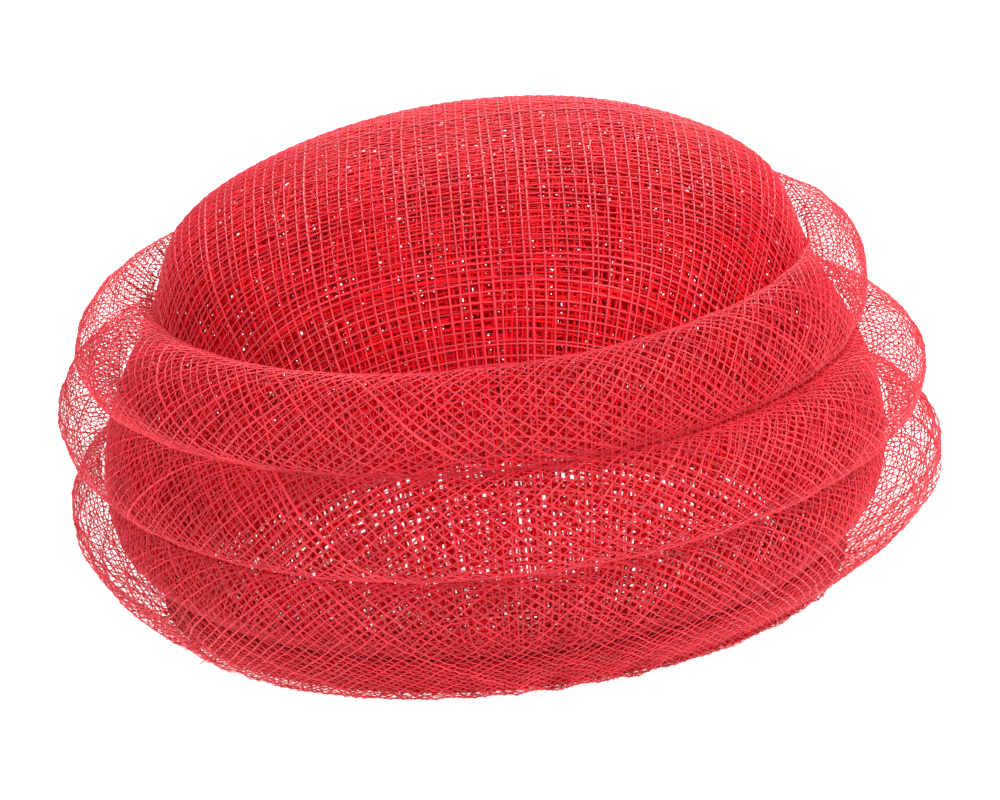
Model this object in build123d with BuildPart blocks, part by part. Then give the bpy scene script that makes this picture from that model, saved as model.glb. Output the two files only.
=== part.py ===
"""Sinamay fascinator: a small blocked cap with three puffed bias rolls round it.

Millimetres. The origin is the centre of the face the rim stands on, +Z is up,
-Y is the front of the hat and +X is to the right as seen from the front.
"""

from build123d import *
from math import asin, cos, degrees, hypot, radians, sin, sqrt
import os

os.makedirs("parts", exist_ok=True)

# Driving dimensions -------------------------------------------------------------

APEX_Z = 103.5  # top of the dome
TOP_EDGE = (56.0, 93.6)  # (radius, height) where the top turns down into the wall
SHOULDER = (68.0, 84.5)  # the wall's upper part, nearly upright
CREASE_TOP = (72.5, 72.5)  # creases: the rings where the rolls are sewn to the cap
CREASE_UPPER = (81.0, 54.5)
CREASE_LOWER = (87.5, 33.5)
LOWER_WALL = (86.0, 19.0)  # where the wall turns in towards the head opening
COLLAR_R = 76.0  # upright collar of the cap at the head opening
COLLAR_TOP = 9.0
SHELF_SLOPE = (-0.8, -0.6)  # way the wall runs where it meets the collar
COLLAR_BOTTOM = 4.6

LAYER = 0.7  # one stiffened sinamay layer of the cap
LAYER_GAP = 0.1
ROLL_SHELL = 1.0  # the soft bias strip of a roll
ROLL_BULGES = {"top": 13.0, "middle": 12.4}
ROLL_CLEARANCE = 1.0  # from the cap's face to a roll's edges
# The bottom roll stands out most near its top, and slopes in to the rim below.
BOTTOM_ROLL = [(92.3, 32.0), (95.6, 28.3), (97.0, 23.2), (95.9, 17.6), (92.4, 12.2), (87.4, 7.3)]
FOOT_OUTER_R = 79.0  # the bottom roll rests on the ring between these radii
FOOT_INNER_R = 72.9
FACING = 0.7  # the bottom roll's strip goes on up inside the cap as a facing
FACING_LINE = [(FOOT_INNER_R, 0.0), (FOOT_INNER_R, 14.0), (76.8, 21.0), (83.6, 30.5)]

WIRE_R = 0.5
WIRE_RING_R = COLLAR_R - LAYER - LAYER_GAP / 2
WIRE_Z = 3.4
WIRE_GAP_DEG = 0.5
FERRULE_R = 0.85
FERRULE_BORE_R = 0.55
FERRULE_ARC_DEG = 8.0

BINDING_SHELL = 0.6
BINDING_CLEARANCE = 0.15
BINDING_FLOOR_Z = 1.7
BINDING_TOP_Z = 8.6

RIBBON_R = 72.8  # outer face of the head ribbon
RIBBON_SHELL = 0.8
RIBBON_BOTTOM_Z = 1.5
RIBBON_TOP_Z = 13.5
RIBBON_FACE_R = RIBBON_R - RIBBON_SHELL

THREAD_R = 0.25
THREAD_STANDOFF = 0.1
STITCH_SINK = 0.3  # how far a sewn end runs into the ribbon
RIBBON_STITCHES = 44
RIBBON_STITCH_LENGTH = 4.0
RIBBON_STITCH_Z = 12.2
CREASE_STITCHES = 30
CREASE_STITCH_LENGTH = 5.0
JOIN_STITCH_LENGTH = 3.0
JOIN_STITCH_PLACES = (0.22, 0.36, 0.5, 0.64, 0.78)  # along a roll's arc

COMB_TEETH = 14
COMB_PITCH = 3.2
COMB_SPINE_R = 1.5
COMB_SPINE_LENGTH = 46.0
COMB_TOOTH_LENGTH = 30.0
COMB_TOOTH_ROOT = 1.3
COMB_TOOTH_TIP = 0.8
COMB_TOOTH_THICKNESS = 1.4
COMB_Z = 8.0
COMB_GAP = 0.4  # from the spine's ends to the ribbon
COMB_LOOP_EVERY = 2  # one sewn loop for each so many gaps between teeth
COMB_LOOP_CLEARANCE = 0.35

ELASTIC_LOOP_R = 1.5  # centre line of the loop's round end
ELASTIC_LOOP_REACH = 3.0
ELASTIC_THREAD_R = 0.35
ELASTIC_LOOP_Z = 9.0

BOW_LOOP_LENGTH = 13.0
BOW_LOOP_HEIGHT = 8.5
BOW_WAIST = 3.6
BOW_THICKNESS = 1.6
BOW_KNOT_WIDTH = 4.2
BOW_KNOT_HEIGHT = 6.4
BOW_KNOT_THICKNESS = 3.4
BOW_Y = 69.6  # middle of the bow's loops
BOW_Z = 7.6

COMB_Y = -(sqrt(RIBBON_FACE_R**2 - (COMB_SPINE_LENGTH / 2) ** 2) - COMB_SPINE_R - COMB_GAP)


def save(name, builder):
    """Labels the finished piece and writes its STEP file."""
    builder.part.label = name
    export_step(builder.part, f"parts/{name}.step")


# Cap ----------------------------------------------------------------------------


def cap_line(inset):
    """Draws the cap's wall from apex to collar, moved in by inset, and gives its two ends."""
    apex = (0, APEX_Z - inset)
    collar_r = COLLAR_R - inset
    rings = [TOP_EDGE, SHOULDER, CREASE_TOP, CREASE_UPPER, CREASE_LOWER, LOWER_WALL]
    normals = [(0.5, 0.87), (0.86, 0.51), (0.93, 0.36), (0.92, 0.39), (1, 0.05), (0.88, -0.47)]
    points = [(r - inset * nr, z - inset * nz) for (r, z), (nr, nz) in zip(rings, normals)]
    collar_top = COLLAR_TOP + inset / 2  # keeps the layers apart where the wall turns down
    Spline(apex, *points, (collar_r, collar_top), tangents=[(1, 0), SHELF_SLOPE])
    Line((collar_r, collar_top), (collar_r, COLLAR_BOTTOM))
    return apex, (collar_r, COLLAR_BOTTOM)


def cap_layer(outer_inset):
    """One blocked layer: the space between two insets of the wall line, turned about Z."""
    with BuildPart() as layer:
        with BuildSketch(Plane.XZ):
            with BuildLine():
                outer_apex, outer_end = cap_line(outer_inset)
                inner_apex, inner_end = cap_line(outer_inset + LAYER)
                Line(outer_apex, inner_apex)
                Line(outer_end, inner_end)
            make_face()
        revolve(axis=Axis.Z)
    return layer


save("crown_outer", cap_layer(0))
save("crown_inner", cap_layer(LAYER + LAYER_GAP))

# Puffed rolls --------------------------------------------------------------------


def roll_ends(top, bottom, inset):
    """The two ends of a roll's arc, clear of the cap, moved along the chord by inset."""
    length = hypot(bottom[0] - top[0], bottom[1] - top[1])
    along = ((bottom[0] - top[0]) / length, (bottom[1] - top[1]) / length)
    start = (top[0] + ROLL_CLEARANCE + inset * along[0], top[1] + inset * along[1])
    end = (bottom[0] + ROLL_CLEARANCE - inset * along[0], bottom[1] - inset * along[1])
    return start, end


def roll_crest(top, bottom, bulge):
    """The point of a roll's arc that stands furthest out from its chord."""
    length = hypot(bottom[0] - top[0], bottom[1] - top[1])
    out = ((top[1] - bottom[1]) / length, (bottom[0] - top[0]) / length)
    middle = ((top[0] + bottom[0]) / 2 + ROLL_CLEARANCE, (top[1] + bottom[1]) / 2)
    return (middle[0] + bulge * out[0], middle[1] + bulge * out[1])


def open_roll(top, bottom, bulge):
    """A C-shaped bias strip sewn down along both of its edges."""
    with BuildPart() as roll:
        with BuildSketch(Plane.XZ):
            with BuildLine():
                start, end = roll_ends(top, bottom, 0)
                ThreePointArc(start, roll_crest(top, bottom, bulge), end)
                inner_start, inner_end = roll_ends(top, bottom, ROLL_SHELL)
                crest = roll_crest(top, bottom, bulge - ROLL_SHELL)
                ThreePointArc(inner_start, crest, inner_end)
                Line(start, inner_start)
                Line(end, inner_end)
            make_face()
        revolve(axis=Axis.Z)
    return roll


CREASE_HALF_GAP = 0.2  # between a crease and the edge of each roll beside it
top_edges = (
    (CREASE_TOP[0], CREASE_TOP[1] - CREASE_HALF_GAP),
    (CREASE_UPPER[0], CREASE_UPPER[1] + CREASE_HALF_GAP),
)
middle_edges = (
    (CREASE_UPPER[0], CREASE_UPPER[1] - CREASE_HALF_GAP),
    (CREASE_LOWER[0], CREASE_LOWER[1] + CREASE_HALF_GAP),
)
BOTTOM_START = (CREASE_LOWER[0] + ROLL_CLEARANCE, CREASE_LOWER[1] - CREASE_HALF_GAP)
FOOT = (FOOT_OUTER_R, 0)


def inside_of(line, distance):
    """The points of a line that runs out and down, each moved square to it by distance, inwards."""
    moved = []
    for before, point, after in zip(line, line[1:], line[2:]):
        run = (after[0] - before[0], after[1] - before[1])
        length = hypot(*run)
        moved.append(
            (point[0] + distance * run[1] / length, point[1] - distance * run[0] / length)
        )
    return moved



save("drape_roll_top", open_roll(*top_edges, ROLL_BULGES["top"]))
save("drape_roll_middle", open_roll(*middle_edges, ROLL_BULGES["middle"]))

# The bottom roll carries on under the rim and up inside the cap, as a facing.
with BuildPart() as bottom_roll:
    with BuildSketch(Plane.XZ):
        with BuildLine():
            inner_start = (BOTTOM_START[0], BOTTOM_START[1] - ROLL_SHELL)
            inner_foot = (FOOT_OUTER_R - ROLL_SHELL / 2, ROLL_SHELL)
            Spline(BOTTOM_START, *BOTTOM_ROLL, FOOT)
            inner_line = inside_of([BOTTOM_START, *BOTTOM_ROLL, FOOT], ROLL_SHELL)
            Spline(inner_start, *inner_line, inner_foot)
            Line(BOTTOM_START, inner_start)
            facing_back = [(r + FACING, z) for r, z in reversed(FACING_LINE[1:])]
            hem = (FOOT_INNER_R + FACING, ROLL_SHELL)
            Polyline(FOOT, *FACING_LINE, *facing_back, hem, inner_foot)
        make_face()
    revolve(axis=Axis.Z)
save("drape_roll_bottom", bottom_roll)

# Rim: wire, ferrule, binding and head ribbon ----------------------------------------

with BuildPart() as rim_wire:
    with BuildSketch(Plane.XZ.rotated((0, 0, 90 + WIRE_GAP_DEG / 2))):
        with Locations((WIRE_RING_R, WIRE_Z)):
            Circle(WIRE_R)
    revolve(axis=Axis.Z, revolution_arc=360 - WIRE_GAP_DEG)
save("rim_wire", rim_wire)

with BuildPart() as wire_joiner:
    with BuildSketch(Plane.XZ.rotated((0, 0, 90 - FERRULE_ARC_DEG / 2))):
        with Locations((WIRE_RING_R, WIRE_Z)):
            Circle(FERRULE_R)
            Circle(FERRULE_BORE_R, mode=Mode.SUBTRACT)
    revolve(axis=Axis.Z, revolution_arc=FERRULE_ARC_DEG)
save("wire_joiner", wire_joiner)

with BuildPart() as rim_binding:
    leg_height = BINDING_TOP_Z - BINDING_FLOOR_Z
    wall_inner_r = COLLAR_R - 2 * LAYER - LAYER_GAP
    channel_outer_r = COLLAR_R + BINDING_CLEARANCE
    channel_inner_r = wall_inner_r - BINDING_CLEARANCE
    with BuildSketch(Plane.XZ):
        with Locations((channel_inner_r - BINDING_SHELL, BINDING_FLOOR_Z)):
            Rectangle(
                channel_outer_r - channel_inner_r + 2 * BINDING_SHELL,
                leg_height,
                align=(Align.MIN, Align.MIN),
            )
        with Locations((channel_inner_r, BINDING_FLOOR_Z + BINDING_SHELL)):
            Rectangle(
                channel_outer_r - channel_inner_r,
                leg_height,
                align=(Align.MIN, Align.MIN),
                mode=Mode.SUBTRACT,
            )
    revolve(axis=Axis.Z)
save("rim_binding", rim_binding)

with BuildPart() as head_ribbon:
    with BuildSketch(Plane.XZ):
        with Locations((RIBBON_FACE_R, RIBBON_BOTTOM_Z)):
            Rectangle(
                RIBBON_SHELL, RIBBON_TOP_Z - RIBBON_BOTTOM_Z, align=(Align.MIN, Align.MIN)
            )
    revolve(axis=Axis.Z)
save("head_ribbon", head_ribbon)

# Stitches ------------------------------------------------------------------------


def ring_of_stitches(ring_r, z, count, length):
    """Running stitches laid end to end round a ring, each a short arc of thread."""
    arc_deg = degrees(2 * asin(length / 2 / ring_r))
    with BuildPart() as stitches:
        with BuildPart(mode=Mode.PRIVATE) as stitch:
            with BuildSketch(Plane.XZ):
                with Locations((ring_r, z)):
                    Circle(THREAD_R)
            revolve(axis=Axis.Z, revolution_arc=arc_deg)
        with PolarLocations(0, count):
            add(stitch.part)
    return stitches


stitch_depth = THREAD_R + THREAD_STANDOFF
save(
    "ribbon_stitches",
    ring_of_stitches(
        RIBBON_FACE_R - stitch_depth, RIBBON_STITCH_Z, RIBBON_STITCHES, RIBBON_STITCH_LENGTH
    ),
)

CAP_DEPTH = 2 * LAYER + LAYER_GAP  # both layers of the cap
for name, crease in (
    ("crease_stitches_top", CREASE_TOP),
    ("crease_stitches_upper", CREASE_UPPER),
    ("crease_stitches_lower", CREASE_LOWER),
):
    inner_r = crease[0] - CAP_DEPTH - 2 * THREAD_STANDOFF - stitch_depth
    save(name, ring_of_stitches(inner_r, crease[1], CREASE_STITCHES, CREASE_STITCH_LENGTH))

# Short stitches across the join in each roll, at the back.
with BuildPart() as roll_join_stitches:
    lines = []
    for (top, bottom), bulge in zip((top_edges, middle_edges), ROLL_BULGES.values()):
        start, end = roll_ends(top, bottom, 0)
        ring = [Vector(0, *point) for point in (start, roll_crest(top, bottom, bulge), end)]
        lines.append(Edge.make_three_point_arc(*ring))
    lines.append(
        Edge.make_spline([Vector(0, *point) for point in (BOTTOM_START, *BOTTOM_ROLL, FOOT)])
    )
    for line in lines:
        for place in JOIN_STITCH_PLACES:
            run = line % place
            outward = Vector(0, -run.Z, run.Y)
            centre = line @ place + outward * stitch_depth
            with Locations(Location(centre, (0, 90, 0))):
                Cylinder(THREAD_R, JOIN_STITCH_LENGTH)
save("roll_join_stitches", roll_join_stitches)

# Comb: a round spine with tapered teeth, and the thread loops that hold it --------------

tooth_places = GridLocations(COMB_PITCH, 1, COMB_TEETH, 1).locations
with BuildPart() as comb:
    with Locations(Location((0, COMB_Y, COMB_Z), (0, 90, 0))):
        Cylinder(COMB_SPINE_R, COMB_SPINE_LENGTH)
    with BuildSketch(Plane.XY.offset(COMB_Z - COMB_TOOTH_THICKNESS / 2)):
        for place in tooth_places:
            x = place.position.X
            with BuildLine():
                root_y = COMB_Y + COMB_SPINE_R / 2
                tip_y = root_y + COMB_TOOTH_LENGTH - COMB_TOOTH_TIP / 2
                Polyline(
                    (x - COMB_TOOTH_TIP / 2, tip_y),
                    (x - COMB_TOOTH_ROOT / 2, root_y),
                    (x + COMB_TOOTH_ROOT / 2, root_y),
                    (x + COMB_TOOTH_TIP / 2, tip_y),
                )
                ThreePointArc(
                    (x - COMB_TOOTH_TIP / 2, tip_y),
                    (x, tip_y + COMB_TOOTH_TIP / 2),
                    (x + COMB_TOOTH_TIP / 2, tip_y),
                )
            make_face()
    extrude(amount=COMB_TOOTH_THICKNESS)
save("comb", comb)

with BuildPart() as comb_stitches:
    loop_r = COMB_SPINE_R + COMB_LOOP_CLEARANCE + THREAD_R
    last_gap = COMB_TEETH // 2 - 1
    for gap in range(-last_gap, last_gap + 1, COMB_LOOP_EVERY):
        x = gap * COMB_PITCH
        ribbon_y = -sqrt(RIBBON_FACE_R**2 - x**2) - STITCH_SINK
        with BuildLine(Plane.YZ.offset(x)) as loop:
            Line((ribbon_y, COMB_Z + loop_r), (COMB_Y, COMB_Z + loop_r))
            ThreePointArc(
                (COMB_Y, COMB_Z + loop_r), (COMB_Y + loop_r, COMB_Z), (COMB_Y, COMB_Z - loop_r)
            )
            Line((COMB_Y, COMB_Z - loop_r), (ribbon_y, COMB_Z - loop_r))
        with BuildSketch(Plane(origin=loop.line @ 0, z_dir=loop.line % 0)):
            Circle(THREAD_R)
        sweep(path=loop.line)
save("comb_stitches", comb_stitches)

# Thread loops for a hat elastic, one each side -------------------------------------

for name, side in (("elastic_loop_left", 1), ("elastic_loop_right", -1)):
    with BuildPart() as elastic_loop:
        ribbon_x = side * (sqrt(RIBBON_FACE_R**2 - ELASTIC_LOOP_R**2) + STITCH_SINK)
        turn_x = side * (RIBBON_FACE_R - ELASTIC_LOOP_REACH)
        tip_x = side * (RIBBON_FACE_R - ELASTIC_LOOP_REACH - ELASTIC_LOOP_R)
        with BuildLine(Plane.XY.offset(ELASTIC_LOOP_Z)) as loop:
            Line((ribbon_x, -ELASTIC_LOOP_R), (turn_x, -ELASTIC_LOOP_R))
            ThreePointArc((turn_x, -ELASTIC_LOOP_R), (tip_x, 0), (turn_x, ELASTIC_LOOP_R))
            Line((turn_x, ELASTIC_LOOP_R), (ribbon_x, ELASTIC_LOOP_R))
        with BuildSketch(Plane(origin=loop.line @ 0, z_dir=loop.line % 0)):
            Circle(ELASTIC_THREAD_R)
        sweep(path=loop.line)
    save(name, elastic_loop)

# Flat bow that marks the back of the ribbon ------------------------------------------

with BuildPart() as ribbon_bow:
    with BuildSketch(Plane.XZ.offset(-(BOW_Y + BOW_THICKNESS / 2))):
        for side in (1, -1):
            with BuildLine():
                Polyline(
                    (0, BOW_Z + BOW_WAIST / 2),
                    (side * BOW_LOOP_LENGTH, BOW_Z + BOW_LOOP_HEIGHT / 2),
                    (side * BOW_LOOP_LENGTH, BOW_Z - BOW_LOOP_HEIGHT / 2),
                    (0, BOW_Z - BOW_WAIST / 2),
                    close=True,
                )
            make_face()
    extrude(amount=BOW_THICKNESS)
    knot_back_y = RIBBON_FACE_R + STITCH_SINK / 2
    with Locations((0, knot_back_y - BOW_KNOT_THICKNESS / 2, BOW_Z)):
        Box(BOW_KNOT_WIDTH, BOW_KNOT_THICKNESS, BOW_KNOT_HEIGHT)
save("ribbon_bow", ribbon_bow)
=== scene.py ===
"""Red sinamay fascinator. Every open weave is real threads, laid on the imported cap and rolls."""

import math

import bpy
import numpy as np
from mathutils import Matrix, Vector


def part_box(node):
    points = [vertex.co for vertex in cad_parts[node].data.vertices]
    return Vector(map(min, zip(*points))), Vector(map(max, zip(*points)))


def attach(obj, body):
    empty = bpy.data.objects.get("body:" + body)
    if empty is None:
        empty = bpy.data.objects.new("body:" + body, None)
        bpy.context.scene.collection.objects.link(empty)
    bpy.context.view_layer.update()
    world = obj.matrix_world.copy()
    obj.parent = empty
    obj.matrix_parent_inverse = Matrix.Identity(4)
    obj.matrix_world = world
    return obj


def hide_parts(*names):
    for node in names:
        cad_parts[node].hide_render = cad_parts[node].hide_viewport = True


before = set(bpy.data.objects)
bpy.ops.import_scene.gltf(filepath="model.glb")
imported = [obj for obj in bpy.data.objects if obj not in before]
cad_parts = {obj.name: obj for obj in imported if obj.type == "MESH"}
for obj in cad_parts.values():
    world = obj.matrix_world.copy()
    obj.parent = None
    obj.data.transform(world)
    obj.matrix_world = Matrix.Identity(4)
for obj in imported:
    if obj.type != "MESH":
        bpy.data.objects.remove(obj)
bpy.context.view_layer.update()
MM = 0.001

# Sizes in millimetres ------------------------------------------------------------------

# Each layer of the cap: thread spacing both ways, a thread's half width and half thickness,
# grain in degrees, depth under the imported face, and seed.
CAP_LAYERS = {
    "crown_weave": ((2.45, 2.03), (0.24, 0.13), 0.0, 0.3, 11),
    "crown_interlining_weave": ((2.45, 2.02), (0.37, 0.13), -4.0, 0.75, 12),
    "crown_lining_weave": ((2.4, 2.06), (0.52, 0.13), 7.0, 1.2, 13),
}
ROLL_STEP = (1.38, 1.22)  # half a diamond of the bias weave, along and across the roll
ROLL_THREAD = (0.2, 0.12)  # a thread's half width and half thickness
RIM_STEP, RIM_THREAD = (0.95, 0.9), (0.24, 0.1)  # the same for the rim's binding
CRIMP = 0.13  # how far a thread rises over and dips under the others
CLOTH_SHARE = 0.97  # flat cloth used for each length that it is pulled over
ROLL_STAND = 0.8  # of a roll's edges off the cap
ROLL_GAP = 0.3  # from a crease to the roll's edge
TOP_BULGE, MIDDLE_BULGE = 13.0, 12.4
FOOT_Z = 0.5
# The bottom roll's line from below its crease: out, down, and in to the foot.
BOTTOM_LINE = [
    (92.3, 32.0),
    (95.6, 28.3),
    (97.0, 23.2),
    (95.9, 17.6),
    (92.4, 12.2),
    (87.4, 7.3),
    (79.0, FOOT_Z),
]
FACING_RISE = [(0.45, 14.0), (4.3, 21.0), (11.0, 30.2)]  # (beyond the ribbon, height)

# How the soft hat has settled from the round one: all round, then to the right, to the back,
# to both sides, and to the back right and front left.
RISE_TOP = (0, 1, -1.5, 0.5, 0)  # heights of the three creases and of the foot
RISE_UPPER = (0, 0, 0.5, 0, -0.5)
RISE_LOWER = (0, 0, -0.5, 1.5, -1)
RISE_FOOT = (0.2, 0.3, -0.1, -0.2, -0.2)
SWELL_TOP = (-2, -2, -2, 0, 3)  # how far each roll stands out
SWELL_MIDDLE = (-0.5, 0, -1, -0.5, -3)
SWELL_BOTTOM = (0, 2.5, 2, 1.5, 0.5)
FOOT_SHIFT = (0, 0, 3, -2, 2)
DOME_RISE, DOME_LEAN = 0.2, 1.1
SOFT_DEPTH, SOFT_BACK = 1.04, 1.3  # the soft hat's depth over its width, its shift to the back
FIRM_Z, SOFT_Z = 9.0, 34.0  # the wired rim keeps its shape, the cloth above has settled
RIM_CLEAR_R = 77.6  # the bottom roll stays outside the bound rim
RIM_STAND = 0.2  # of the rim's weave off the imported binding

CREASE_STITCHES, CREASE_STITCH_LENGTH, CREASE_THREAD_R = 30, 5.6, 0.26
CREASE_STITCH_DEPTH = 1.75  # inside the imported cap's outer face
RIBBON_STITCHES, RIBBON_STITCH_LENGTH = 44, 4.4
RIBBON_FACE_R = 72.0  # the head ribbon's inner face
RIBBON_THREAD_R = 0.24
LOOSE_ENDS = 26


# Shapes read from the frame ---------------------------------------------------------------


def cap_outline():
    """Radius and height down the cap's outer face from the apex, at even steps."""
    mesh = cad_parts["crown_outer"].data
    places = np.empty(len(mesh.vertices) * 3, np.float32)
    normals = np.empty(len(mesh.vertices) * 3, np.float32)
    mesh.vertices.foreach_get("co", places)
    mesh.vertices.foreach_get("normal", normals)
    places, normals = places.reshape(-1, 3) / MM, normals.reshape(-1, 3)
    middle_z = 0.4 * places[:, 2].max()  # the outline is read by angle from this height
    radius = np.hypot(places[:, 0], places[:, 1])
    away = np.stack([places[:, 0], places[:, 1], places[:, 2] - middle_z], 1)
    away /= np.linalg.norm(away, axis=1)[:, None]
    outer = (away * normals).sum(1) > 0.45  # faces that look outwards
    angle = np.arctan2(places[outer, 2] - middle_z, radius[outer])
    reach = np.hypot(places[outer, 2] - middle_z, radius[outer])
    order = np.argsort(angle)
    even_angle = np.linspace(angle.min(), math.pi / 2, 500)
    even_reach = np.interp(even_angle, angle[order], reach[order])
    kernel = np.hanning(9) / np.hanning(9).sum()
    padded = np.pad(even_reach, 4, "edge")
    even_reach = np.convolve(padded, kernel, "valid")
    r = (even_reach * np.cos(even_angle))[::-1]
    z = (middle_z + even_reach * np.sin(even_angle))[::-1]
    r[0] = 0
    length = np.concatenate([[0], np.cumsum(np.hypot(np.diff(r), np.diff(z)))])
    even = np.linspace(0, length[-1], 700)
    return even, np.interp(even, length, r), np.interp(even, length, z)


CAP_S, CAP_R, CAP_Z = cap_outline()
CAP_DR = np.gradient(CAP_R, CAP_S)
CAP_DZ = np.gradient(CAP_Z, CAP_S)


def crease(name):
    """Distance down the cap, radius on its face and height of one crease, from its stitches."""
    low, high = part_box(name)
    z = (low.z + high.z) / 2 / MM
    s = float(np.interp(-z, -CAP_Z, CAP_S))
    return s, float(np.interp(s, CAP_S, CAP_R)), z


TOP, UPPER, LOWER = (crease(f"crease_stitches_{place}") for place in ("top", "upper", "lower"))
RIBBON_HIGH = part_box("head_ribbon")[1]
RIBBON_R = RIBBON_HIGH.x / MM
BINDING_LOW, BINDING_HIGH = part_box("rim_binding")


def round_the_hat(terms, turn):
    """A slow change round the hat, from its constant, cos, sin, cos 2 and sin 2 parts."""
    waves = (1, np.cos(turn), np.sin(turn), np.cos(2 * turn), np.sin(2 * turn))
    return sum(term * wave for term, wave in zip(terms, waves))


def smooth(value):
    """From 0 to 1 with no corner."""
    value = np.clip(value, 0, 1)
    return value * value * (3 - 2 * value)


def set_back(r, turn, z):
    """Places from radius, azimuth and height, the soft part deeper than it is wide."""
    soft = smooth((z - FIRM_Z) / (SOFT_Z - FIRM_Z))
    y = r * np.sin(turn) * (1 + (SOFT_DEPTH - 1) * soft) + SOFT_BACK * soft
    return np.stack([r * np.cos(turn), y, z], -1)


def settle(place):
    """Where a point of the round cap has settled to."""
    r, z = np.hypot(place[..., 0], place[..., 1]), place[..., 2]
    turn = np.arctan2(place[..., 1], place[..., 0])
    upper = np.clip((z - LOWER[2]) / (UPPER[2] - LOWER[2]), 0, 1)
    top = np.clip((z - UPPER[2]) / (TOP[2] - UPPER[2]), 0, 1)
    terms = (RISE_LOWER, RISE_UPPER, RISE_TOP)
    low_rise, mid_rise, top_rise = (round_the_hat(term, turn) for term in terms)
    rise = low_rise * (1 - upper) + (mid_rise * (1 - top) + top_rise * top) * upper
    across = np.clip(r / TOP[1], 0, 1)
    lid = np.where(z > TOP[2], 1 - across**2, 0)
    rise = rise * (1 - lid) + lid * (DOME_RISE + 2.6 * across * DOME_LEAN * np.cos(turn))
    soft = smooth((z - FIRM_Z) / (SOFT_Z - FIRM_Z))
    settled = set_back(r, turn, z)
    settled[..., 2] = z + rise * soft
    return settled


# Thread tools ---------------------------------------------------------------------------


def unit(vectors):
    """Vectors of length one."""
    return vectors / np.maximum(np.linalg.norm(vectors, axis=-1, keepdims=True), 1e-9)


def tube_mesh(paths, normals, valid, half_width, half_thick, sides, shade):
    """Closed flattened tubes along many paths: vertices, faces, and a shade for each face."""
    count, samples, _ = paths.shape
    step = np.zeros_like(paths)
    gap = np.where((valid[:, 1:] & valid[:, :-1])[..., None], paths[:, 1:] - paths[:, :-1], 0)
    step[:, :-1] += gap
    step[:, 1:] += gap
    along = unit(step)
    across = unit(np.cross(along, normals))
    up = np.cross(across, along)
    turn = np.pi / 2 + np.arange(sides) * 2 * np.pi / sides
    wide = np.cos(turn)[None, None, :, None] * half_width[:, :, None, None]
    high = np.sin(turn)[None, None, :, None] * half_thick[:, :, None, None]
    vertices = paths[:, :, None] + across[:, :, None] * wide + up[:, :, None] * high
    vertices = vertices.reshape(-1, 3)
    index = np.arange(count * samples * sides).reshape(count, samples, sides)
    joined = valid[:, 1:] & valid[:, :-1]
    first, second = index[:, :-1], index[:, 1:]
    quads = np.stack([first, second, np.roll(second, -1, 2), np.roll(first, -1, 2)], -1)
    quads = quads[joined].reshape(-1, 4)
    quad_shade = np.broadcast_to(shade[:, None, None], first.shape)[joined].reshape(-1)
    padded = np.pad(joined, ((0, 0), (1, 1)))
    starts = padded[:, 1:] & ~padded[:, :-1]
    ends = padded[:, :-1] & ~padded[:, 1:]
    shade_all = np.broadcast_to(shade[:, None], (count, samples))
    caps = np.concatenate([index[starts], index[ends][:, ::-1]])
    cap_shade = np.concatenate([shade_all[starts], shade_all[ends]])
    used = np.zeros(len(vertices), bool)
    used[quads.ravel()] = True
    number = np.cumsum(used) - 1
    return vertices[used], [number[quads], number[caps]], [quad_shade, cap_shade]


def mesh_piece(name, parts, materials):
    """One object from several tube meshes in millimetres, with a material for each shade."""
    vertices, loops, totals, shades, offset = [], [], [], [], 0
    for points, faces, face_shades in parts:
        vertices.append(points)
        for group, group_shades in zip(faces, face_shades):
            if len(group):
                loops.append((group + offset).ravel())
                totals.append(np.full(len(group), group.shape[1]))
                shades.append(group_shades)
        offset += len(points)
    vertices, loops = np.concatenate(vertices) * MM, np.concatenate(loops)
    totals, shades = np.concatenate(totals), np.concatenate(shades)
    mesh = bpy.data.meshes.new(name)
    mesh.vertices.add(len(vertices))
    mesh.vertices.foreach_set("co", vertices.astype(np.float32).ravel())
    mesh.loops.add(len(loops))
    mesh.loops.foreach_set("vertex_index", loops.astype(np.int32))
    mesh.polygons.add(len(totals))
    starts = np.concatenate([[0], np.cumsum(totals)[:-1]])
    mesh.polygons.foreach_set("loop_start", starts.astype(np.int32))
    mesh.polygons.foreach_set("loop_total", totals.astype(np.int32))
    mesh.polygons.foreach_set("material_index", shades.astype(np.int32))
    mesh.polygons.foreach_set("use_smooth", np.full(len(totals), True))
    for material in materials:
        mesh.materials.append(material)
    mesh.update(calc_edges=True)
    piece = bpy.data.objects.new(name, mesh)
    bpy.context.scene.collection.objects.link(piece)
    return piece


def drift(random, count, samples, amount):
    """Slow sideways wander along each thread, in parts of a pitch."""
    places = np.linspace(0, 1, samples)[None]
    total = random.normal(0, 0.7 * amount, (count, 1)) * np.ones_like(places)
    for wave in (1, 2, 3):
        phase = random.uniform(0, 2 * np.pi, (count, 1))
        rate = wave * random.uniform(2, 5, (count, 1))
        size = random.normal(0, 0.5 * amount, (count, 1)) / wave
        total += size * np.sin(rate * np.pi * places + phase)
    return total


def thread_sizes(random, count, samples, size):
    """Half widths and thicknesses: each thread differs, swells and thins, and a few are slubs."""
    scale = random.normal(1, 0.14, (count, 1)).clip(0.7, 1.4)
    scale = np.where(random.random((count, 1)) < 0.04, scale * 1.55, scale)
    scale = scale * (1 + 0.14 * drift(random, count, samples, 1.0)).clip(0.7, 1.4)
    return size[0] * scale, size[1] * scale


def shades_of(random, count, shades):
    """A shade number for each thread, mostly the middle ones."""
    return np.clip(np.round(random.normal((shades - 1) / 2, shades / 4.5, count)), 0, shades - 1)


# The cap --------------------------------------------------------------------------------


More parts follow.
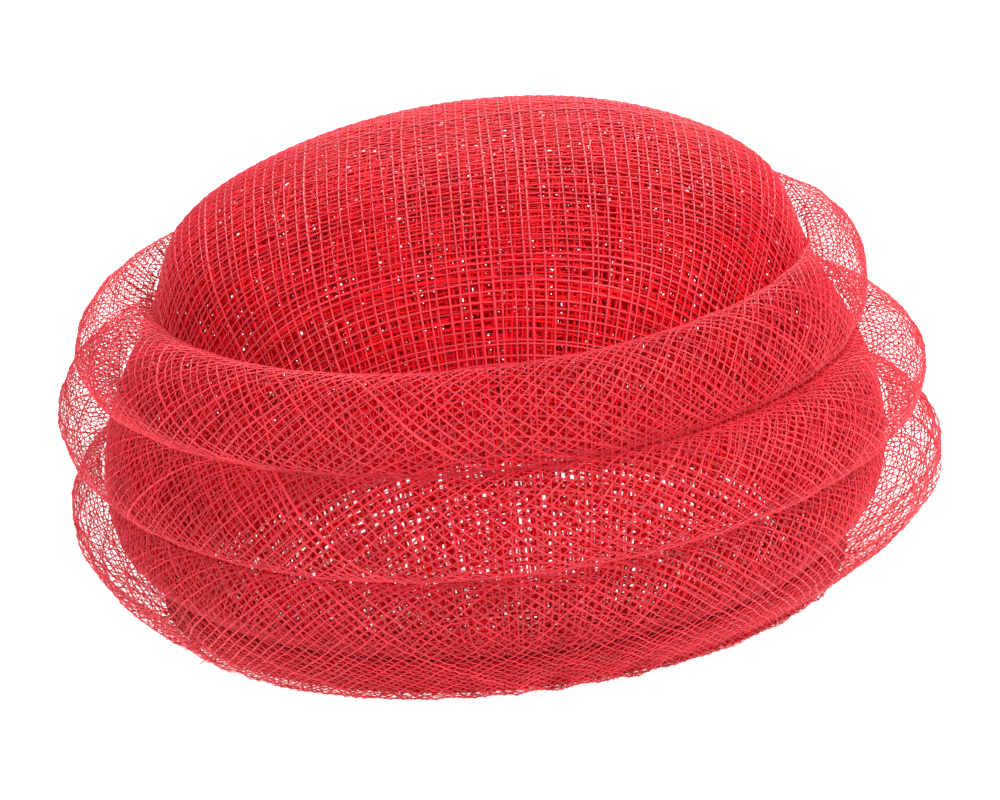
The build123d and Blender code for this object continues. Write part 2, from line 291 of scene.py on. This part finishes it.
def cap_point(s, turn, inset=0.0):
    """Place and outward normal at distance s down the round cap, at an azimuth."""
    r, z = np.interp(s, CAP_S, CAP_R), np.interp(s, CAP_S, CAP_Z)
    dr, dz = np.interp(s, CAP_S, CAP_DR), np.interp(s, CAP_S, CAP_DZ)
    size = np.hypot(dr, dz)
    out_r, out_z = -dz / size, dr / size
    normal = np.stack([out_r * np.cos(turn), out_r * np.sin(turn), out_z], -1)
    r, z = np.maximum(r - inset * out_r, 0), z - inset * out_z
    return np.stack([r * np.cos(turn), r * np.sin(turn), z], -1), normal


def cap_cloth(name, pitch, thread, grain, inset, seed, materials):
    """One layer of the cap, a flat square weave blocked over it, and its length of thread in mm.

    A crossing keeps its distance and direction from the middle of the cloth, so the threads
    close up sideways as they come down the wall."""
    random = np.random.default_rng(seed)
    end = CAP_S[-1]
    half = int(end / min(pitch)) + 1
    side = np.arange(-half, half + 1)
    along_i, along_j = (drift(random, len(side), len(side), 0.17) for _ in range(2))
    x = (side[:, None] + along_i) * pitch[0]
    y = (side[None, :] + along_j.T) * pitch[1]
    s, turn = np.hypot(x, y), np.arctan2(y, x)
    ok = s <= end
    flat, normal = cap_point(s.clip(0, end), turn + math.radians(grain), inset)
    place = settle(flat)
    over = np.where((side[:, None] + side[None, :]) % 2 == 0, 1.0, -1.0)[..., None] * CRIMP
    parts, laid = [], 0
    for paths, normals, valid, lift in (
        (place, normal, ok, over),
        (place.transpose(1, 0, 2), normal.transpose(1, 0, 2), ok.T, -over.transpose(1, 0, 2)),
    ):
        wide, thick = thread_sizes(random, *valid.shape, thread)
        shade = shades_of(random, len(valid), len(materials))
        parts.append(tube_mesh(paths + normals * lift, normals, valid, wide, thick, 3, shade))
        laid += np.linalg.norm(np.diff(paths, axis=1), axis=-1)[valid[:, 1:] & valid[:, :-1]].sum()
    return mesh_piece(name, parts, materials), laid


# Rolls ----------------------------------------------------------------------------------


def arc_line(top, bottom, bulge):
    """An arc that stands out by bulge from the line between two creases."""
    top, bottom = np.array(top), np.array(bottom)
    chord = np.linalg.norm(bottom - top)
    radius = (bulge**2 + chord**2 / 4) / (2 * bulge)
    down = (bottom - top) / chord
    out = np.array([-down[1], down[0]])
    angle = np.linspace(-1, 1, 60)[:, None] * 2 * math.atan(2 * bulge / chord)
    outward = (bulge - radius + radius * np.cos(angle)) * out
    return (top + bottom) / 2 + outward + radius * np.sin(angle) * down


def curve_through(points, steps=14):
    """A smooth line through points, a Catmull-Rom spline."""
    points = np.array(points, float)
    padded = np.concatenate([[2 * points[0] - points[1]], points, [2 * points[-1] - points[-2]]])
    t = np.linspace(0, 1, steps, endpoint=False)[:, None]
    runs = []
    for a, b, c, d in zip(padded, padded[1:], padded[2:], padded[3:]):
        square, cube = 2 * a - 5 * b + 4 * c - d, 3 * b - a - 3 * c + d
        runs.append(0.5 * (2 * b + (c - a) * t + square * t**2 + cube * t**3))
    return np.concatenate([*runs, points[-1:]])


class Section:
    """A roll's line at each azimuth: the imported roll's, let out and taken in round the hat.

    A section with no seed keeps its line all round."""

    def __init__(self, line, rises, swell, seed=None, facing=None):
        self.rises, self.swell, self.foot = rises, swell, facing is not None
        self.waves, self.puckers = [], []
        if seed is not None:
            random = np.random.default_rng(seed)
            for k in range(3, 9):
                size = random.normal(0, 0.45) / k**0.5
                self.waves.append((k, size, random.uniform(0, 2 * np.pi)))
            for k in range(22, 60, 5):
                size = random.normal(0, 0.26)
                self.puckers.append((k, size, random.uniform(0, 2 * np.pi)))
        self.arc = np.hypot(*np.diff(line, axis=0).T).sum()
        if self.foot:
            line = np.concatenate([line, facing])
        length = np.concatenate([[0], np.cumsum(np.hypot(*np.diff(line, axis=0).T))])
        self.width = length[-1]
        self.even = np.linspace(0, self.width, 600)
        self.r, self.z = (np.interp(self.even, length, line[:, axis]) for axis in (0, 1))
        self.ring = 2 * math.pi * self.r.max()

    def outline(self, turn, s):
        """Radius and height at azimuth turn, s down the strip."""
        share = (s / self.arc).clip(0, 1)
        r, z = np.interp(s, self.even, self.r), np.interp(s, self.even, self.z)
        out = round_the_hat(self.swell, turn)
        out = out + sum(size * np.cos(k * turn + phase) for k, size, phase in self.waves)
        pucker = sum(size * np.sin(k * turn + phase) for k, size, phase in self.puckers)
        near = np.exp(-s / 9) + np.exp(-abs(self.arc - s) / 9)
        r = r + (out + pucker * near) * np.sin(np.pi * share) ** 0.7
        z = z + round_the_hat(self.rises[0], turn) * (1 - share)
        if not self.foot:
            return r, z + round_the_hat(self.rises[1], turn) * share
        past = smooth((s - self.arc) / 4.0)
        at_back = np.maximum(np.sin(turn), 0)
        shift = round_the_hat(FOOT_SHIFT, turn) * (1 - 0.85 * at_back)
        r = r + (shift + 2 * pucker) * share * (1 - past)
        r = np.where(s < self.arc + 1.0, np.maximum(r, RIM_CLEAR_R), r)
        rise = np.maximum(round_the_hat(self.rises[1], turn) + 1.2 * pucker, 0)
        return r, z + rise * share * (1 - past)

    def point(self, turn, s):
        """Place and outward normal at azimuth turn, s down the strip, its corners eased."""
        ease = 0.7 if self.foot else 0.3
        places = [(s + shift * ease).clip(0, self.width) for shift in (-2, -1, 0, 1, 2)]
        rings = [self.outline(turn, place) for place in places]
        weights = (0.1, 0.2, 0.4, 0.2, 0.1)
        r, z = (sum(w * ring[axis] for w, ring in zip(weights, rings)) for axis in (0, 1))
        dr, dz = rings[3][0] - rings[1][0], rings[3][1] - rings[1][1]
        size = np.hypot(dr, dz).clip(1e-6)
        out_r, out_z = -dz / size, dr / size
        normal = np.stack([out_r * np.cos(turn), out_r * np.sin(turn), out_z], -1)
        return set_back(r, turn, z), normal


def bias_cloth(name, section, step, thread, seed, materials):
    """A bias-cut strip round the hat, and the length of thread in it in millimetres."""
    random = np.random.default_rng(seed)
    count = int(round(section.ring / 2 * CLOTH_SHARE / step[0]))
    samples = int(section.width / step[1]) + 1
    k, j = np.arange(count)[:, None], np.arange(samples)[None, :]
    step_turn, step_s = math.pi / count, section.width / (samples - 1)
    wanders = [drift(random, count, samples, 0.13) for _ in range(2)]
    over = np.where(j % 2 == 0, 1.0, -1.0) * CRIMP + 0 * k
    whole = np.ones((count, samples), bool)
    parts, laid = [], 0
    for direction, own, other, lift in ((1, *wanders, over), (-1, *wanders[::-1], -over)):
        shift = other[(k + direction * j) % count, j]
        turn = step_turn * (2 * k + direction * j + own + shift)
        s = step_s * (j + direction * (shift - own))
        place, normal = section.point(turn, s.clip(0, section.width))
        wide, thick = thread_sizes(random, count, samples, thread)
        shade = shades_of(random, count, len(materials))
        paths = place + normal * lift[..., None]
        parts.append(tube_mesh(paths, normal, whole, wide, thick, 3, shade))
        laid += np.linalg.norm(np.diff(paths, axis=1), axis=-1).sum()
    return mesh_piece(name, parts, materials), laid


# Stitches -------------------------------------------------------------------------------


def twisted(paths, normals, radius, shade=0):
    """Two plies twisted together along each path, as round tubes."""
    count, samples, _ = paths.shape
    along = unit(np.gradient(paths, axis=1))
    across = unit(np.cross(along, normals))
    steps = np.linalg.norm(np.diff(paths, axis=1), axis=-1)
    length = np.pad(np.cumsum(steps, 1), ((0, 0), (1, 0)))
    parts, valid = [], np.ones((count, samples), bool)
    size = np.full((count, samples), radius * 0.62)
    for phase in (0, np.pi):
        spin = length * 2 * np.pi / (radius * 7) + phase
        aside = across * np.cos(spin)[..., None] + normals * np.sin(spin)[..., None]
        ply = paths + radius * 0.5 * aside
        parts.append(tube_mesh(ply, normals, valid, size, size, 5, np.full(count, shade)))
    return parts


def running_stitches(face, count, length_turn, depth):
    """Stitches laid round a face inside the hat, their ends going down into the cloth."""
    t = np.linspace(-1, 1, 15)[None]
    turn = np.arange(count)[:, None] * 2 * np.pi / count + t * length_turn / 2
    dip = smooth((abs(t) - 0.75) / 0.25) * depth
    return face(turn, dip + 0 * turn)


# Materials ------------------------------------------------------------------------------


def plain(name, colour, roughness, sheen=0.0, specular=0.5, coat=0.0):
    """A principled material with the given uniform values."""
    material = bpy.data.materials.new(name)
    material.use_nodes = True
    shader = material.node_tree.nodes["Principled BSDF"]
    shader.inputs["Base Color"].default_value = (*colour, 1)
    shader.inputs["Roughness"].default_value = roughness
    shader.inputs["Sheen Weight"].default_value = sheen
    shader.inputs["Specular IOR Level"].default_value = specular
    shader.inputs["Coat Weight"].default_value = coat
    return material


def fibre_shades(name, colour, spread, roughness, specular, sheen=0.1):
    """Five shades of one dyed fibre, dark to light, for the threads of a cloth."""
    shades = []
    for number in range(5):
        scaled = [min(0.97, value * (1 + spread * (number - 2) / 2)) for value in colour]
        shades.append(plain(f"{name}_{number}", scaled, roughness, sheen, specular))
    return shades


def patterned(name, colour, build, roughness, bump=0.3, **finish):
    """A material with colour and bump from the pattern that build makes in its nodes."""
    material = plain(name, colour, roughness, **finish)
    tree = material.node_tree
    shader = tree.nodes["Principled BSDF"]
    pattern = build(tree)
    ramp = tree.nodes.new("ShaderNodeValToRGB")
    ramp.color_ramp.elements[0].color = (*(value * 0.55 for value in colour), 1)
    ramp.color_ramp.elements[1].color = (*(min(1, value * 1.2) for value in colour), 1)
    tree.links.new(pattern, ramp.inputs["Fac"])
    tree.links.new(ramp.outputs["Color"], shader.inputs["Base Color"])
    relief = tree.nodes.new("ShaderNodeBump")
    relief.inputs["Strength"].default_value = bump
    relief.inputs["Distance"].default_value = 0.0002
    tree.links.new(pattern, relief.inputs["Height"])
    tree.links.new(relief.outputs["Normal"], shader.inputs["Normal"])
    return material


def ribs_round(count):
    """A pattern of upright ribs round the vertical axis."""

    def build(tree):
        places = tree.nodes.new("ShaderNodeTexCoord")
        split = tree.nodes.new("ShaderNodeSeparateXYZ")
        tree.links.new(places.outputs["Object"], split.inputs["Vector"])
        turn = tree.nodes.new("ShaderNodeMath")
        turn.operation = "ARCTAN2"
        tree.links.new(split.outputs["Y"], turn.inputs[0])
        tree.links.new(split.outputs["X"], turn.inputs[1])
        many = tree.nodes.new("ShaderNodeMath")
        many.operation = "MULTIPLY"
        many.inputs[1].default_value = count
        tree.links.new(turn.outputs["Value"], many.inputs[0])
        wave = tree.nodes.new("ShaderNodeMath")
        wave.operation = "SINE"
        tree.links.new(many.outputs["Value"], wave.inputs[0])
        scaled = tree.nodes.new("ShaderNodeMath")
        scaled.operation = "MULTIPLY_ADD"
        scaled.inputs[1].default_value = 0.5
        scaled.inputs[2].default_value = 0.5
        tree.links.new(wave.outputs["Value"], scaled.inputs[0])
        return scaled.outputs["Value"]

    return build


def bands(scale, distortion=0.0):
    """A pattern of fine straight bands."""

    def build(tree):
        places = tree.nodes.new("ShaderNodeTexCoord")
        wave = tree.nodes.new("ShaderNodeTexWave")
        wave.inputs["Scale"].default_value = scale
        wave.inputs["Distortion"].default_value = distortion
        tree.links.new(places.outputs["Object"], wave.inputs["Vector"])
        return wave.outputs["Fac"]

    return build


def mottle(scale):
    """A fine mottled pattern."""

    def build(tree):
        places = tree.nodes.new("ShaderNodeTexCoord")
        noise = tree.nodes.new("ShaderNodeTexNoise")
        noise.inputs["Scale"].default_value = scale
        noise.inputs["Detail"].default_value = 3
        tree.links.new(places.outputs["Object"], noise.inputs["Vector"])
        return noise.outputs["Fac"]

    return build


FIBRE = (0.86, 0.03, 0.055)
# The lining and interlining fibre is painted darker and deeper red than the outer fibre: painted
# shade for the dim gaps inside the cap.
LINING_FIBRE_PAINTED_SHADE = (0.8, 0.002, 0.01)
BINDING_FIBRE = (0.72, 0.003, 0.014)
CAP_SHADES = fibre_shades("cap_fibre", FIBRE, 0.25, 0.36, 0.45, 0.05)
LINING_PAINTED_SHADE_TONES = fibre_shades("lining_fibre_painted_shade", LINING_FIBRE_PAINTED_SHADE, 0.2, 0.5, 0.15, 0.0)
ROLL_SHADES = fibre_shades("drape_fibre", FIBRE, 0.25, 0.36, 0.45, 0.05)
BINDING_SHADES = fibre_shades("binding_fibre", BINDING_FIBRE, 0.2, 0.5, 0.2)
THREAD = plain("sewing_thread", (0.8, 0.005, 0.02), 0.5, 0.1, 0.3)
LOOSE_THREAD = plain("loose_thread_end", (0.5, 0.16, 0.06), 0.6)
LOOP = patterned("covered_elastic", (0.5, 0.006, 0.016), bands(900, 2), 0.6, sheen=0.2)
RIBBON = patterned("petersham", (0.72, 0.002, 0.008), ribs_round(360), 0.7, specular=0.12)
BOW = patterned("bow_petersham", (0.55, 0.006, 0.014), bands(260), 0.5, sheen=0.3)
BASE = patterned("binding_base", (0.62, 0.002, 0.006), mottle(900), 0.7, specular=0.1)
WRAP = patterned("wire_cover", (0.45, 0.01, 0.02), mottle(1500), 0.7)
STEEL = patterned("ferrule_steel", (0.6, 0.6, 0.62), mottle(700), 0.3, 0.1)
STEEL.node_tree.nodes["Principled BSDF"].inputs["Metallic"].default_value = 1.0
PLASTIC = patterned("comb_plastic", (0.5, 0.006, 0.014), mottle(160), 0.2, 0.05, coat=0.4)

# Building the soft pieces ------------------------------------------------------------------


def finish_piece(piece):
    """Puts a new piece on the hat."""
    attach(piece, "hat")


for name, (pitch, thread, grain, inset, seed) in CAP_LAYERS.items():
    outer = name == "crown_weave"
    # The inner layers take the lining tones, which carry painted shade.
    shades = CAP_SHADES if outer else LINING_PAINTED_SHADE_TONES
    piece, laid = cap_cloth(name, pitch, thread, grain, inset, seed, shades)
    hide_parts("crown_outer" if outer else "crown_inner")
    finish_piece(piece)


def beside(ring, way):
    """The edge of a roll just above (1) or below (-1) a crease."""
    return ring[1] + ROLL_STAND, ring[2] + way * ROLL_GAP


TOP_LINE = arc_line(beside(TOP, -1), beside(UPPER, 1), TOP_BULGE)
MIDDLE_LINE = arc_line(beside(UPPER, -1), beside(LOWER, 1), MIDDLE_BULGE)
FOOT_LINE = curve_through([beside(LOWER, -1), *BOTTOM_LINE])
FACING = np.array(
    [(RIBBON_R + FACING_RISE[0][0], FOOT_Z), *((RIBBON_R + out, z) for out, z in FACING_RISE)]
)
SECTIONS = {
    "drape_roll_top": Section(TOP_LINE, (RISE_TOP, RISE_UPPER), SWELL_TOP, 21),
    "drape_roll_middle": Section(MIDDLE_LINE, (RISE_UPPER, RISE_LOWER), SWELL_MIDDLE, 22),
    "drape_roll_bottom": Section(FOOT_LINE, (RISE_LOWER, RISE_FOOT), SWELL_BOTTOM, 23, FACING),
}
for seed, (node, section) in enumerate(SECTIONS.items(), 31):
    name = f"{node}_weave"
    piece, laid = bias_cloth(name, section, ROLL_STEP, ROLL_THREAD, seed, ROLL_SHADES)
    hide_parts(node)
    finish_piece(piece)

RIM_R = BINDING_HIGH.x / MM
RIM_LOW, RIM_TOP = BINDING_LOW.z / MM - RIM_STAND, BINDING_HIGH.z / MM + RIM_STAND
RIM_LINE = np.array(
    [
        (RIM_R - 2.6, RIM_LOW),
        (RIM_R + RIM_STAND, RIM_LOW),
        (RIM_R + RIM_STAND, RIM_TOP),
        (RIM_R - 0.5, RIM_TOP),
    ]
)
STILL = (0, 0, 0, 0, 0)
rim = Section(RIM_LINE, (STILL, STILL), STILL)
binding, laid = bias_cloth("rim_binding_weave", rim, RIM_STEP, RIM_THREAD, 41, BINDING_SHADES)
finish_piece(binding)


def inside_cap(s):
    """The cap's inner face at one distance down it."""

    def face(turn, dip):
        place, normal = cap_point(s + 0 * turn, turn, CREASE_STITCH_DEPTH)
        return settle(place + normal * dip[..., None]), -normal

    return face


def on_ribbon(turn, dip):
    """The head ribbon's inner face near its top edge."""
    r, z = RIBBON_R - 1.05 + dip, RIBBON_HIGH.z / MM - 1.3
    inward = -np.stack([np.cos(turn), np.sin(turn), 0 * turn], -1)
    return np.stack([r * np.cos(turn), r * np.sin(turn), z + 0 * turn], -1), inward


def thread_piece(name, parts, node):
    """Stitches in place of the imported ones."""
    stitches = mesh_piece(name, parts, [THREAD])
    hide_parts(node)
    finish_piece(stitches)


for place, ring in (("top", TOP), ("upper", UPPER), ("lower", LOWER)):
    length_turn = CREASE_STITCH_LENGTH / ring[1]
    paths, normals = running_stitches(inside_cap(ring[0]), CREASE_STITCHES, length_turn, 1.2)
    parts = twisted(paths, normals, CREASE_THREAD_R)
    thread_piece(f"crease_thread_{place}", parts, f"crease_stitches_{place}")

length_turn = RIBBON_STITCH_LENGTH / RIBBON_FACE_R
paths, normals = running_stitches(on_ribbon, RIBBON_STITCHES, length_turn, 0.9)
thread_piece("ribbon_thread", twisted(paths, normals, RIBBON_THREAD_R), "ribbon_stitches")

parts = []
for section in SECTIONS.values():
    places = np.linspace(0.12, 0.9, 9)[:, None] * section.arc
    t = np.linspace(-1, 1, 11)[None]
    turn = math.pi / 2 + t * 1.7 / 95 + 0 * places  # across the join at the back
    paths, normals = section.point(turn, places + t * 0.9)
    dip = 0.45 - smooth((abs(t) - 0.7) / 0.3) * 0.9
    parts += twisted(paths + normals * (dip + 0 * places)[..., None], normals, RIBBON_THREAD_R)
thread_piece("roll_join_thread", parts, "roll_join_stitches")


def loose_ends():
    """Cut ends that stand out along the bottom roll's edge, and one pale end in a crease."""
    random = np.random.default_rng(51)
    section = SECTIONS["drape_roll_bottom"]
    turn = random.uniform(0, 2 * np.pi, (LOOSE_ENDS, 1))
    down = np.full((LOOSE_ENDS, 1), section.arc * 0.86)
    start, normal = section.point(turn, down + random.normal(0, 1.5, (LOOSE_ENDS, 1)))
    stray = random.normal(0, 0.55, (LOOSE_ENDS, 1, 3))
    way = unit(normal + stray - np.array([0, 0, 0.25]))
    t = np.linspace(0, 1, 6)[None, :, None]
    reach = random.uniform(0.8, 2.4, (LOOSE_ENDS, 1, 1))
    curl = np.array([0, 0, 1.0]) * random.uniform(-0.8, 0.8, (LOOSE_ENDS, 1, 1))
    paths = start + way * t * reach + curl * t**2
    size, whole = np.full((LOOSE_ENDS, 6), 0.15), np.ones((LOOSE_ENDS, 6), bool)
    shade = np.zeros(LOOSE_ENDS)
    parts = [tube_mesh(paths, normal + 0 * paths, whole, size, size * 0.7, 4, shade)]
    middle = SECTIONS["drape_roll_middle"]
    turn, down = np.array([[0.022 - math.pi / 2]]), np.array([[middle.arc - 0.8]])
    place, out = middle.point(turn, down)
    t = np.linspace(0, 1, 8)[None, :, None]
    tail = place + out * t * 1.6 + np.array([0.25, 0, 1.6]) * (t - t**2 * 0.3)
    parts += twisted(tail, np.array([1.0, 0, 0]) + 0 * tail, 0.2, 1)
    return mesh_piece("loose_thread_ends", parts, [ROLL_SHADES[2], LOOSE_THREAD])


finish_piece(loose_ends())

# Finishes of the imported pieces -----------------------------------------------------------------

FINISHES = {
    "comb": PLASTIC,
    "comb_stitches": THREAD,
    "head_ribbon": RIBBON,
    "ribbon_bow": BOW,
    "rim_binding": BASE,
    "rim_wire": WRAP,
    "wire_joiner": STEEL,
    "elastic_loop_left": LOOP,
    "elastic_loop_right": LOOP,
}
for name, material in FINISHES.items():
    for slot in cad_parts[name].material_slots:
        slot.link = "OBJECT"
        slot.material = material

# Stage, light and camera -----------------------------------------------------------------------


def area_light(name, place, size, power):
    """A soft square light that looks at the hat."""
    light = bpy.data.lights.new(name, "AREA")
    light.size, light.energy = size, power
    lamp = bpy.data.objects.new(name, light)
    bpy.context.scene.collection.objects.link(lamp)
    lamp.location = place
    way = Vector((0, 0, 0.05)) - Vector(place)
    lamp.rotation_euler = way.to_track_quat("-Z", "Y").to_euler()


def studio():
    """A pale glowing table, a soft white room and three large soft lights."""
    bpy.ops.mesh.primitive_plane_add(size=8, location=(0, 0, -0.0004))
    floor = bpy.context.object
    floor.name = "pale_floor"
    material = plain("pale_table", (0.45, 0.45, 0.45), 0.9, specular=0.0)
    shader = material.node_tree.nodes["Principled BSDF"]
    shader.inputs["Emission Color"].default_value = (1, 1, 1, 1)
    shader.inputs["Emission Strength"].default_value = 0.92
    floor.data.materials.append(material)
    world = bpy.data.worlds.new("soft_room")
    bpy.context.scene.world = world
    world.use_nodes = True
    sky = world.node_tree.nodes["Background"]
    sky.inputs["Color"].default_value = (1, 1, 1, 1)
    sky.inputs["Strength"].default_value = 0.4
    area_light("key_light", (0.65, -0.4, 0.8), 0.5, 10.5)
    area_light("fill_light", (-0.7, -0.8, 0.45), 0.8, 3.9)
    area_light("back_light", (0.1, 0.75, 0.7), 0.8, 8.0)


def camera():
    """Looks down at the front from about nineteen degrees up, from far away, rolled a little."""
    elevation, roll, distance = math.radians(18.7), math.radians(5.0), 1.40
    picture_width = 0.2237  # of the scene at the target, in metres
    right, up = Vector((1, 0, 0)), Vector((0, math.sin(elevation), math.cos(elevation)))
    toward = Vector((0, -math.cos(elevation), math.sin(elevation)))
    rolled_right = right * math.cos(roll) - up * math.sin(roll)
    rolled_up = right * math.sin(roll) + up * math.cos(roll)
    target = Vector((0, 0, 0.0436)) + rolled_right * 0.0022 - rolled_up * 0.0021
    data = bpy.data.cameras.new("camera")
    data.sensor_width = 36
    data.lens = distance / picture_width * data.sensor_width
    data.clip_end = 20
    view = bpy.data.objects.new("camera", data)
    bpy.context.scene.collection.objects.link(view)
    turn = Matrix((rolled_right, rolled_up, toward)).transposed().to_4x4()
    view.matrix_world = Matrix.Translation(target + toward * distance) @ turn
    bpy.context.scene.camera = view


studio()
camera()
bpy.context.scene.view_settings.view_transform = "Standard"
